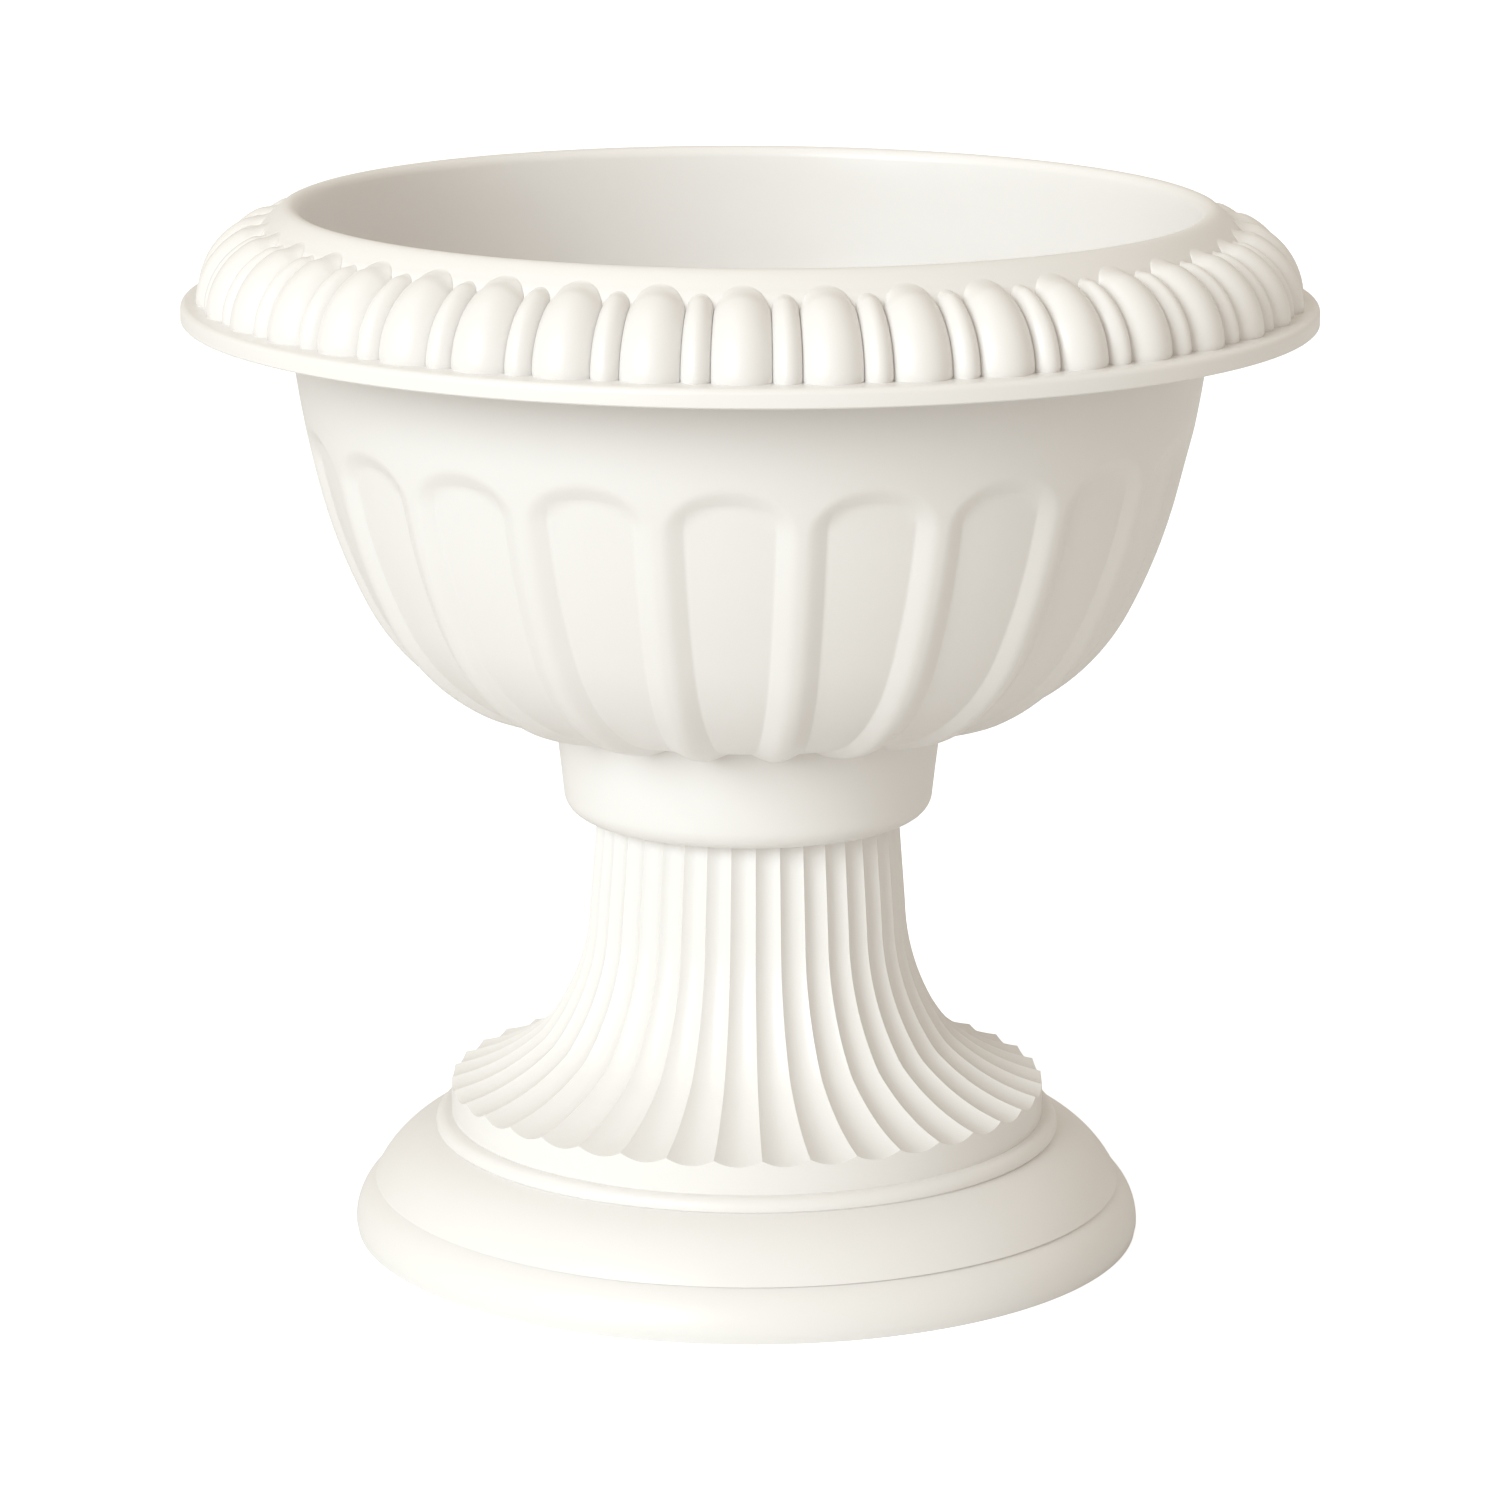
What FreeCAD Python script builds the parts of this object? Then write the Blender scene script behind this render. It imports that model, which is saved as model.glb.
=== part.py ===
"""Urn planter: a gadrooned bowl that locks onto a fluted pedestal, with a drain plug in the bowl.

Millimetres. +Z is up, the floor is z = 0 and the axis of the urn is the Z axis. The front is -Y.
Azimuths are degrees from the front, growing towards +X. Outlines are (radius, height) pairs.
"""
import FreeCAD, Part
import math
import os
import Sketcher

Vector, Rotation, Placement = FreeCAD.Vector, FreeCAD.Rotation, FreeCAD.Placement

SIZES = {
    # wall of both mouldings
    "WallThickness": 3.6,
    # rolled lip round the mouth
    "LipRadius": 185.1,
    "LipHeight": 426.4,
    "LipRound": 4.4,
    # brim, the flange at the widest point
    "BrimRadius": 228.6,
    "BrimUnderside": 381.0,
    "BrimTop": 388.5,
    "BrimRound": 2.5,
    # rim between lip and brim, with its lobes
    "RollCentre": 189.5,
    "RollCrest": 33.2,
    "BandReach": 8.0,
    "BandDrop": 8.4,
    "BandSlope": 38.0,
    "RollCurve": 33.0,
    "LobeCount": 40,
    "LobeAzimuth": -0.8,
    "WideHalfWidth": 11.7,
    "WideHeight": 6.2,
    "NarrowHalfWidth": 5.7,
    "NarrowHeight": 4.0,
    "NarrowDrop": 2.2,
    # outside of the bowl, from under the rim down to the collar
    "BowlTopRadius": 185.6,
    "ShoulderRadius": 174.6,
    "ShoulderHeight": 316.4,
    "ShoulderCurve": 417.0,
    "BellyRadius": 154.3,
    "BellyHeight": 262.7,
    "BellyCurve": 230.0,
    "HaunchRadius": 112.3,
    "HaunchHeight": 223.3,
    "HaunchCurve": 94.2,
    "BaseCurve": 120.0,
    # arched panels sunk into the bowl
    "PanelCount": 20,
    "PanelAzimuth": -2.4,
    "PanelDepth": 2.0,
    "PanelBevel": 6.0,
    "PanelTop": 343.0,
    "ArchRise": 20.0,
    "RibWidth": 4.6,
    # collar under the bowl, which holds the bottom of the soil
    "CollarTopRadius": 79.3,
    "CollarTopHeight": 214.8,
    "CollarLowRadius": 75.7,
    "CollarRound": 9.0,
    "SeatHeight": 176.0,
    "WellRound": 6.0,
    # twist lock between bowl and pedestal
    "PlateThickness": 3.5,
    "LockBore": 46.0,
    "LockClearance": 0.5,
    "LockGap": 0.3,
    "LockRingThickness": 3.4,
    "LugCount": 4,
    "LugReach": 7.6,
    "LugThickness": 3.0,
    "LugAngle": 26.0,
    "NotchAngle": 32.0,
    "TwistAngle": 45.0,
    "StopAngle": 4.0,
    # drain
    "DrainRadius": 9.0,
    "PlugClearance": 0.3,
    "PlugFlangeRadius": 13.5,
    "PlugFlangeThickness": 2.4,
    "PlugDepth": 9.0,
    "PlugTaper": 0.9,
    "PlugWall": 2.2,
    "GripWidth": 14.0,
    "GripHeight": 8.0,
    "GripThickness": 3.2,
    # stem, measured on the sharp edges between its flutes
    "StemTopRadius": 62.0,
    "NeckRadius": 65.2,
    "NeckHeight": 136.0,
    "WaistRadius": 84.3,
    "WaistHeight": 83.0,
    "NeckCurve": 91.0,
    "FlareRadius": 122.6,
    "FlareHeight": 62.5,
    "FlareCurve": 83.0,
    "FlareEndSlope": 17.0,
    "StemWall": 6.6,
    "FluteCount": 40,
    "FluteAzimuth": 2.95,
    "FluteDepthShare": 0.22,
    "ScallopRoom": 5.5,
    # drum, ring and steps of the foot
    "DrumFoot": 48.6,
    "RingRadius": 129.0,
    "RingBottom": 42.6,
    "RingRound": 4.4,
    "StepRadius": 153.8,
    "StepHeight": 20.0,
    "StepCurve": 43.0,
    "BandRadius": 162.6,
    "BandHeight": 3.0,
    "BandCurve": 20.0,
    "FootRadius": 162.0,
}


class Size:
    """A length, angle or count together with the spreadsheet expression that it comes from."""

    def __init__(self, value, text):
        self.value = value
        self.text = text

    def __add__(self, other):
        return joined(self, "+", other, self.value + number(other))

    def __sub__(self, other):
        return joined(self, "-", other, self.value - number(other))

    def __mul__(self, other):
        return joined(self, "*", other, self.value * number(other))

    def __truediv__(self, other):
        return joined(self, "/", other, self.value / number(other))


def number(size):
    return size.value if isinstance(size, Size) else float(size)


def text(size):
    return size.text if isinstance(size, Size) else repr(float(size))


NOTHING = Size(0.0, "0.0")


def joined(left, sign, right, value):
    return Size(value, "({} {} {})".format(text(left), sign, text(right)))


def cosine(angle):
    return Size(math.cos(math.radians(number(angle))), "cos({})".format(text(angle)))


def sine(angle):
    return Size(math.sin(math.radians(number(angle))), "sin({})".format(text(angle)))


def root(size):
    return Size(math.sqrt(number(size)), "sqrt({})".format(text(size)))


class Table:
    """The spreadsheet of driving dimensions; each becomes an attribute that is a Size."""

    def __init__(self, doc, sizes):
        sheet = doc.addObject("Spreadsheet::Sheet", "Sizes")
        for row, (name, value) in enumerate(sizes.items(), start=1):
            sheet.set("A{}".format(row), name)
            sheet.set("B{}".format(row), str(value))
            sheet.setAlias("B{}".format(row), name)
            setattr(self, name, Size(float(value), "Sizes." + name))


doc = FreeCAD.newDocument("urn_planter")
dim = Table(doc, SIZES)
doc.recompute()


# ---------------------------------------------------------------- sketches and features

def new_body(label):
    body = doc.addObject("PartDesign::Body", label)
    body.Label = label
    return body


def datum(body, role):
    return next(item for item in body.Origin.OriginFeatures if item.Role == role)


def sketch_on(body, name, role, height=0.0, azimuth=None):
    """A sketch on one of the body's own planes, lifted to a height and turned to an azimuth."""
    sketch = body.newObject("Sketcher::SketchObject", name)
    sketch.AttachmentSupport = [(datum(body, role), "")]
    sketch.MapMode = "FlatFace"
    turn = number(azimuth) - 90.0 if azimuth is not None else 0.0
    sketch.AttachmentOffset = Placement(Vector(0, 0, number(height)), Rotation(Vector(0, 0, 1), turn))
    if isinstance(height, Size):
        sketch.setExpression("AttachmentOffset.Base.z", height.text)
    return sketch


def arc_centre(start, end, radius):
    """Centre of the arc from start to end; a positive radius keeps it on the left."""
    (x1, y1), (x2, y2) = start, end
    half = math.hypot(x2 - x1, y2 - y1) / 2
    rise = math.copysign(math.sqrt(radius * radius - half * half), radius)
    return (
        (x1 + x2) / 2 - (y2 - y1) / (2 * half) * rise,
        (y1 + y2) / 2 + (x2 - x1) / (2 * half) * rise,
    )


def arc_between(start, end, radius):
    x, y = arc_centre(start, end, radius)
    first = math.atan2(start[1] - y, start[0] - x)
    last = math.atan2(end[1] - y, end[0] - x)
    if radius < 0:
        first, last = last, first
    return Part.ArcOfCircle(Part.Circle(Vector(x, y, 0), Vector(0, 0, 1), abs(radius)), first, last)


def fix(sketch, kind, *where, size):
    """Adds one driving constraint and ties it to the spreadsheet."""
    index = sketch.addConstraint(Sketcher.Constraint(kind, *where, number(size)))
    if isinstance(size, Size):
        sketch.setExpression("Constraints[{}]".format(index), size.text)


def pin(sketch, geometry, end, x, y):
    """Holds one end of a line or arc at (x, y)."""
    for value, kind, axis in ((x, "DistanceX", -2), (y, "DistanceY", -1)):
        if abs(number(value)) < 1e-9:
            sketch.addConstraint(Sketcher.Constraint("PointOnObject", geometry, end, axis))
        else:
            fix(sketch, kind, -1, 1, geometry, end, size=value)


def outline(sketch, points):
    """A closed outline. Each point is (x, y), or (x, y, radius) where an arc leaves it."""
    count = len(points)
    flat = [(number(point[0]), number(point[1])) for point in points]
    ends = []
    for index, point in enumerate(points):
        start, end = flat[index], flat[(index + 1) % count]
        if len(point) == 2:
            sketch.addGeometry(Part.LineSegment(Vector(*start, 0), Vector(*end, 0)), False)
            ends.append((1, 2))
            continue
        sketch.addGeometry(arc_between(start, end, number(point[2])), False)
        ends.append((1, 2) if number(point[2]) > 0 else (2, 1))
    for index, point in enumerate(points):
        following = (index + 1) % count
        sketch.addConstraint(
            Sketcher.Constraint("Coincident", index, ends[index][1], following, ends[following][0])
        )
        pin(sketch, index, ends[index][0], point[0], point[1])
        if len(point) == 3:
            radius = point[2] if number(point[2]) > 0 else NOTHING - point[2]
            fix(sketch, "Radius", index, size=radius)


def turned(body, name, kind, points):
    """A Revolution or Groove of an outline about the axis of the urn."""
    sketch = sketch_on(body, name + "_outline", "XZ_Plane")
    outline(sketch, points)
    feature = body.newObject("PartDesign::" + kind, name)
    feature.Profile = sketch
    feature.ReferenceAxis = (sketch, ["V_Axis"])
    feature.Angle = 360.0
    return feature


def around(body, name, originals, count):
    """Copies features evenly round the axis of the urn."""
    pattern = body.newObject("PartDesign::PolarPattern", name)
    pattern.Originals = originals
    pattern.Axis = (datum(body, "Z_Axis"), [""])
    pattern.Angle = 360.0
    pattern.Occurrences = int(count.value)
    pattern.setExpression("Occurrences", count.text)
    body.Tip = pattern
    return pattern


def prism(body, name, kind, sketch, length, downwards=False):
    """A Pad or Pocket of a sketch, through a length."""
    feature = body.newObject("PartDesign::" + kind, name)
    feature.Profile = sketch
    feature.Length = number(length)
    feature.setExpression("Length", text(length))
    feature.Reversed = downwards
    return feature


def sector(sketch, inner, outer, middle, spread):
    """A closed piece of a ring between two radii, spread evenly about an angle from the X axis."""
    first = math.radians(number(middle) - number(spread) / 2)
    last = math.radians(number(middle) + number(spread) / 2)
    up = Vector(0, 0, 1)
    for radius in (inner, outer):
        sketch.addGeometry(Part.ArcOfCircle(Part.Circle(Vector(), up, number(radius)), first, last), False)
    for angle in (first, last):
        ray = Vector(math.cos(angle), math.sin(angle), 0)
        sketch.addGeometry(Part.LineSegment(ray * number(inner), ray * number(outer)), False)
    for index, radius in enumerate((inner, outer)):
        sketch.addConstraint(Sketcher.Constraint("Coincident", index, 3, -1, 1))
        fix(sketch, "Radius", index, size=radius)
        sketch.addConstraint(Sketcher.Constraint("Coincident", index, 1, 2, 1 + index))
        sketch.addConstraint(Sketcher.Constraint("Coincident", index, 2, 3, 1 + index))
    for line, angle in ((2, middle - spread / 2), (3, middle + spread / 2)):
        sketch.addConstraint(Sketcher.Constraint("PointOnObject", -1, 1, line))
        turn = sketch.addConstraint(
            Sketcher.Constraint("Angle", -1, 1, line, 1, math.radians(angle.value))
        )
        sketch.setExpression("Constraints[{}]".format(turn), "{} * 1 deg".format(angle.text))


# ---------------------------------------------------------------- curves in the (radius, height) plane

def tangent(start, end, radius, point):
    """Unit direction of travel at a point of a line, or of an arc whose radius is signed."""
    if radius is None:
        length = math.hypot(end[0] - start[0], end[1] - start[1])
        return ((end[0] - start[0]) / length, (end[1] - start[1]) / length)
    x, y = arc_centre(start, end, radius)
    return ((y - point[1]) / radius, (point[0] - x) / radius)


def plain(point):
    """A chain's point as numbers, with None for the radius of a straight run."""
    return (number(point[0]), number(point[1]), number(point[2]) if len(point) == 3 else None)


def parallel(chain, distance):
    """The open chain moved to the left of its travel; each joint moves along the mean normal there."""
    flat = [plain(point) for point in chain]
    moved = []
    for index, point in enumerate(chain):
        here = flat[index]
        directions = []
        if index > 0:
            directions.append(tangent(flat[index - 1][:2], here[:2], flat[index - 1][2], here))
        if index < len(chain) - 1:
            directions.append(tangent(here[:2], flat[index + 1][:2], here[2], here))
        across = sum(item[0] for item in directions)
        along = sum(item[1] for item in directions)
        length = math.hypot(across, along)
        x = point[0] - distance * (along / length)
        y = point[1] + distance * (across / length)
        moved.append((x, y, point[2] - distance) if len(point) == 3 else (x, y))
    return moved


def reverse(chain):
    """The same open chain travelled the other way."""
    turned_round = []
    for index in range(len(chain) - 1, -1, -1):
        point = chain[index]
        before = chain[index - 1] if index else ()
        if len(before) == 3:
            turned_round.append((point[0], point[1], NOTHING - before[2]))
        else:
            turned_round.append((point[0], point[1]))
    return turned_round


def walk(chain, steps):
    """Points and unit tangents along an open chain, with the same number of steps in each run."""
    flat = [plain(point) for point in chain]
    places = []
    for here, there in zip(flat, flat[1:]):
        radius = here[2]
        for step in range(steps):
            part = step / steps
            if radius is None:
                point = (here[0] + (there[0] - here[0]) * part, here[1] + (there[1] - here[1]) * part)
            else:
                x, y = arc_centre(here[:2], there[:2], radius)
                first = math.atan2(here[1] - y, here[0] - x)
                last = math.atan2(there[1] - y, there[0] - x)
                angle = first + (last - first) * part
                point = (x + abs(radius) * math.cos(angle), y + abs(radius) * math.sin(angle))
            places.append((point, tangent(here[:2], there[:2], radius, point)))
    end = flat[-1][:2]
    places.append((end, tangent(flat[-2][:2], end, flat[-2][2], end)))
    return places


def radius_at(points, height):
    """Radius where a line of points crosses a height."""
    for (r1, z1), (r2, z2) in zip(points, points[1:]):
        if min(z1, z2) <= height <= max(z1, z2):
            return r1 + (r2 - r1) * (height - z1) / (z2 - z1)
    raise ValueError("no point at height {:.1f}".format(height))


# ---------------------------------------------------------------- bowl

def bowl_wall():
    """Outside of the bowl from the collar up to the rim."""
    return [
        (dim.CollarTopRadius, dim.CollarTopHeight, dim.BaseCurve),
        (dim.HaunchRadius, dim.HaunchHeight, dim.HaunchCurve),
        (dim.BellyRadius, dim.BellyHeight, dim.BellyCurve),
        (dim.ShoulderRadius, dim.ShoulderHeight, dim.ShoulderCurve),
        (dim.BowlTopRadius, dim.BrimUnderside),
    ]


def rim_skin():
    """Outside of the rim behind its lobes, from the brim up to the crest of the lip."""
    lip_centre = dim.LipHeight - dim.LipRound
    return [
        (dim.RollCentre + dim.RollCrest - dim.WideHeight, dim.BrimTop, dim.RollCurve),
        (dim.RollCentre + dim.BandReach, dim.LipHeight - dim.BandDrop),
        (
            dim.LipRadius + dim.LipRound * sine(dim.BandSlope),
            lip_centre + dim.LipRound * cosine(dim.BandSlope),
            dim.LipRound,
        ),
        (dim.LipRadius, dim.LipHeight),
    ]


def lobe(body, name, half_width, height, crest, azimuth):
    """One lobe of the rim: a rounded bar bent over the rim, from the brim until it sinks into the band."""
    bar = (half_width * half_width + height * height) / (height * 2)
    middle = dim.RollCentre + crest - bar
    chord = dim.RollCentre + crest - height - dim.WallThickness / 4
    spread = root(bar * bar - (chord - middle) * (chord - middle))
    sketch = sketch_on(body, name + "_section", "XY_Plane", dim.BrimTop, azimuth)
    outline(sketch, [(chord, NOTHING - spread, bar), (chord, spread)])
    axis = Part.LineSegment(Vector(dim.RollCentre.value, -1, 0), Vector(dim.RollCentre.value, 1, 0))
    line = sketch.addGeometry(axis, True)
    for end, reach in ((1, -1.0), (2, 1.0)):
        pin(sketch, line, end, dim.RollCentre, reach)
    bend = body.newObject("PartDesign::Revolution", name)
    bend.Profile = sketch
    bend.ReferenceAxis = (sketch, ["Axis0"])
    bend.Angle = 90.0
    bend.Reversed = True
    return bend


def panel_section(body, name, place, direction, half, depth, azimuth):
    """One cross-section of the tool that sinks a panel, square to the wall at a point of its outside.

    The direction is that of a walk down the wall, so it is turned about to have the outside on the right.
    """
    (radius, height), (across, along) = place, direction
    across, along = -across, -along
    turn = math.radians(azimuth)
    sideways = Vector(math.cos(turn), math.sin(turn), 0)
    outwards = Vector(math.sin(turn), -math.cos(turn), 0) * along + Vector(0, 0, -across)
    sketch = sketch_on(body, name, "XY_Plane")
    sketch.AttachmentOffset = Placement(
        Vector(math.sin(turn) * radius, -math.cos(turn) * radius, height),
        Rotation(sideways, outwards, sideways.cross(outwards), "XYZ"),
    )

    def fall(x):
        return x * x * along / (2 * radius)

    bevel = min(dim.PanelBevel.value, half * 0.7)
    floor = half - bevel
    lift = dim.PanelDepth.value * 2
    left, bottom, right = (
        Vector(-floor, -depth - fall(floor), 0),
        Vector(0, -depth, 0),
        Vector(floor, -depth - fall(floor), 0),
    )
    sketch.addGeometry(Part.Arc(left, bottom, right), False)
    corners = [(floor, -depth - fall(floor)), (half, -fall(half)), (half, lift)]
    corners += [(-x, y) for x, y in reversed(corners)]
    for start, end in zip(corners, corners[1:]):
        sketch.addGeometry(Part.LineSegment(Vector(*start, 0), Vector(*end, 0)), False)
    return sketch


def panel(body):
    """Tool for one arched panel: it follows the wall from the crown of the arch down to the collar."""
    azimuth = dim.PanelAzimuth.value
    top, rise = dim.PanelTop.value, dim.ArchRise.value
    share = math.pi / dim.PanelCount.value - dim.RibWidth.value / 2 / dim.ShoulderRadius.value
    places = walk(reverse(bowl_wall()), 120)
    start = next(index for index, place in enumerate(places) if place[0][1] <= top)
    lengths = [0.0]
    for (before, _), (after, _) in zip(places[start:], places[start + 1:]):
        lengths.append(lengths[-1] + math.hypot(after[0] - before[0], after[1] - before[1]))
    sections = []
    runs = [rise * part for part in (0.02, 0.15, 0.4, 0.7)]
    runs += [rise + (lengths[-1] - rise) * step / 8 for step in range(9)]
    for index, wanted in enumerate(runs):
        step = min(range(len(lengths)), key=lambda item: abs(lengths[item] - wanted))
        (radius, height), direction = places[start + step]
        run = max(lengths[step], 0.4)
        arch = math.sqrt(1 - (1 - run / rise) ** 2) if run < rise else 1.0
        depth = dim.PanelDepth.value * min(1.0, run / dim.PanelBevel.value + 0.1)
        half = radius * share * arch
        name = "panel_section_{}".format(index + 1)
        sections.append(panel_section(body, name, (radius, height), direction, half, depth, azimuth))
    tool = body.newObject("PartDesign::SubtractiveLoft", "panel")
    tool.Profile = sections[0]
    tool.Sections = sections[1:]
    tool.Ruled = True
    return tool


def lock_ring_bottom():
    return dim.SeatHeight - dim.PlateThickness - dim.LockGap - dim.LugThickness


def make_bowl():
    body = new_body("bowl")
    wall = dim.WallThickness
    collar = [
        (dim.CollarLowRadius - dim.CollarRound, dim.SeatHeight, dim.CollarRound),
        (dim.CollarLowRadius, dim.SeatHeight + dim.CollarRound),
    ]
    brim = [
        (dim.BrimRadius, dim.BrimUnderside),
        (dim.BrimRadius, dim.BrimTop - dim.BrimRound, dim.BrimRound),
        (dim.BrimRadius - dim.BrimRound, dim.BrimTop),
    ]
    roll = dim.RollCrest - dim.WideHeight
    under_rim = [
        (dim.BowlTopRadius, dim.BrimTop + roll - wall / 2, NOTHING - roll),
        (dim.RollCentre + roll - wall, dim.BrimTop),
        (dim.RollCentre + roll - wall, dim.BrimTop - wall),
        (dim.BrimRadius - wall, dim.BrimTop - wall),
        (dim.BrimRadius - wall, dim.BrimUnderside),
    ]
    turned(body, "outer_form", "Revolution", [
        (0, dim.SeatHeight), *collar, *bowl_wall(), *under_rim, *brim, *rim_skin(), (0, dim.LipHeight),
    ])

    # arched panels round the bowl, sunk while the bowl is still full
    around(body, "panels", [panel(body)], dim.PanelCount)

    # inside of the bowl, down into the well of the collar
    inside = parallel(bowl_wall(), wall)
    floor = dim.SeatHeight + wall
    well = [
        (0, floor),
        (dim.CollarLowRadius - wall - dim.WellRound, floor, dim.WellRound),
        (dim.CollarLowRadius - wall, floor + dim.WellRound),
        (dim.CollarTopRadius - wall, dim.CollarTopHeight + wall - dim.WellRound, NOTHING - dim.WellRound),
        (dim.CollarTopRadius - wall + dim.WellRound, dim.CollarTopHeight + wall, dim.BaseCurve - wall),
    ]
    mouth = [
        (dim.LipRadius - dim.LipRound, dim.LipHeight - dim.LipRound, NOTHING - dim.LipRound),
        (dim.LipRadius, dim.LipHeight),
        (dim.LipRadius, dim.LipHeight + wall),
        (0, dim.LipHeight + wall),
    ]
    turned(body, "inside", "Groove", [*well, *inside[1:], *mouth])

    # ring and lugs of the twist lock under the floor
    outer = dim.LockBore - dim.LockClearance
    turned(body, "lock_ring", "Revolution", [
        (outer - dim.LockRingThickness, lock_ring_bottom()),
        (outer, lock_ring_bottom()),
        (outer, dim.SeatHeight + wall / 2),
        (outer - dim.LockRingThickness, dim.SeatHeight + wall / 2),
    ])
    sketch = sketch_on(body, "lug_outline", "XY_Plane", lock_ring_bottom())
    sector(sketch, outer - dim.LockRingThickness / 2, outer + dim.LugReach, dim.TwistAngle, dim.LugAngle)
    lug = prism(body, "lug", "Pad", sketch, dim.LugThickness)
    around(body, "lugs", [lug], dim.LugCount)

    # drain hole in the middle of the floor
    sketch = sketch_on(body, "drain_outline", "XY_Plane", floor)
    sketch.addGeometry(Part.Circle(Vector(), Vector(0, 0, 1), dim.DrainRadius.value), False)
    sketch.addConstraint(Sketcher.Constraint("Coincident", 0, 3, -1, 1))
    fix(sketch, "Radius", 0, size=dim.DrainRadius)
    prism(body, "drain", "Pocket", sketch, wall * 2)

    # rim: wide lobes with narrow ones between them
    half_pitch = Size(180.0, "180") / dim.LobeCount
    wide = lobe(body, "wide_lobe", dim.WideHalfWidth, dim.WideHeight, dim.RollCrest, dim.LobeAzimuth)
    narrow = lobe(body, "narrow_lobe", dim.NarrowHalfWidth, dim.NarrowHeight,
                  dim.RollCrest - dim.NarrowDrop, dim.LobeAzimuth + half_pitch)
    around(body, "lobes", [wide, narrow], dim.LobeCount)

    return body


# ---------------------------------------------------------------- drain plug

def make_plug():
    """A hollow tapered bung with a flange that rests on the floor of the well and a grip across it."""
    body = new_body("drain_plug")
    floor = dim.SeatHeight + dim.WallThickness
    tip = floor - dim.PlugDepth
    shank = dim.DrainRadius - dim.PlugClearance
    turned(body, "bung", "Revolution", [
        (0, floor - dim.WallThickness / 2),
        (shank - dim.PlugTaper - dim.PlugWall, floor - dim.WallThickness / 2),
        (shank - dim.PlugTaper - dim.PlugWall, tip),
        (shank - dim.PlugTaper, tip),
        (shank, floor),
        (dim.PlugFlangeRadius, floor),
        (dim.PlugFlangeRadius, floor + dim.PlugFlangeThickness),
        (0, floor + dim.PlugFlangeThickness),
    ])
    top = floor + dim.PlugFlangeThickness
    sketch = sketch_on(body, "grip_outline", "XZ_Plane")
    half = dim.GripWidth / 2
    low = top - dim.PlugFlangeThickness / 2
    outline(sketch, [
        (NOTHING - half, low),
        (half, low),
        (half, top + dim.GripHeight - half / 2, half / 2),
        (half / 2, top + dim.GripHeight),
        (NOTHING - half / 2, top + dim.GripHeight, half / 2),
        (NOTHING - half, top + dim.GripHeight - half / 2),
    ])
    grip = prism(body, "grip", "Pad", sketch, dim.GripThickness)
    grip.Midplane = True
    return body


# ---------------------------------------------------------------- pedestal

def stem():
    """Sharp edges of the stem from the edge of the flare up to the seat."""
    return [
        (dim.FlareRadius, dim.FlareHeight, NOTHING - dim.FlareCurve),
        (dim.WaistRadius, dim.WaistHeight, NOTHING - dim.NeckCurve),
        (dim.NeckRadius, dim.NeckHeight),
        (dim.StemTopRadius, dim.SeatHeight),
    ]


def fluted_section(sketch, sharp, deep):
    """A closed ring of flutes: sharp edges on one radius, the middles of the flutes on another."""
    count = int(dim.FluteCount.value)
    pitch = 2 * math.pi / count
    first = math.radians(dim.FluteAzimuth.value - 90.0)
    for index in range(count):
        start, end = (
            Vector(sharp * math.cos(first + pitch * step), sharp * math.sin(first + pitch * step), 0)
            for step in (index, index + 1)
        )
        middle = first + pitch * (index + 0.5)
        pull = Vector(math.cos(middle), math.sin(middle), 0) * deep * 2 - (start + end) * 0.5
        flute = Part.BSplineCurve()
        flute.buildFromPolesMultsKnots([start, pull, end], [3, 3], [0, 1], False, 2)
        sketch.addGeometry(flute, False)


def fluted_stem(body):
    """Stem as one loft through fluted sections; below the flare it runs on so that its edge can be trimmed."""
    slope = math.radians(dim.FlareEndSlope.value)
    sharp = [place for place in walk(stem(), 30)]
    run_out = [
        ((dim.FlareRadius.value + step, dim.FlareHeight.value - step * math.tan(slope)),
         (-math.cos(slope), math.sin(slope)))
        for step in range(40, 0, -1)
    ]
    (radius, height), direction = sharp[-1]
    above = ((radius + 10 * direction[0], height + 10 * direction[1]), direction)
    places = run_out + sharp + [above]
    depth = dim.FluteDepthShare.value * 2 * math.pi / dim.FluteCount.value
    edges = [place for place, _ in places]
    valleys = [(r - along * depth * r, z + across * depth * r) for (r, z), (across, along) in places]
    joints = [sharp[index][0][1] for index in (0, 15, 30, 45, 60, 90)]
    heights = [dim.FlareHeight.value - dim.ScallopRoom.value] + joints
    sections = []
    for index, height in enumerate(heights):
        sketch = sketch_on(body, "stem_section_{}".format(index + 1), "XY_Plane", height)
        fluted_section(sketch, radius_at(edges, height), radius_at(valleys, height))
        sections.append(sketch)
    loft = body.newObject("PartDesign::AdditiveLoft", "fluted_stem")
    loft.Profile = sections[0]
    loft.Sections = sections[1:]
    return loft


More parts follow.
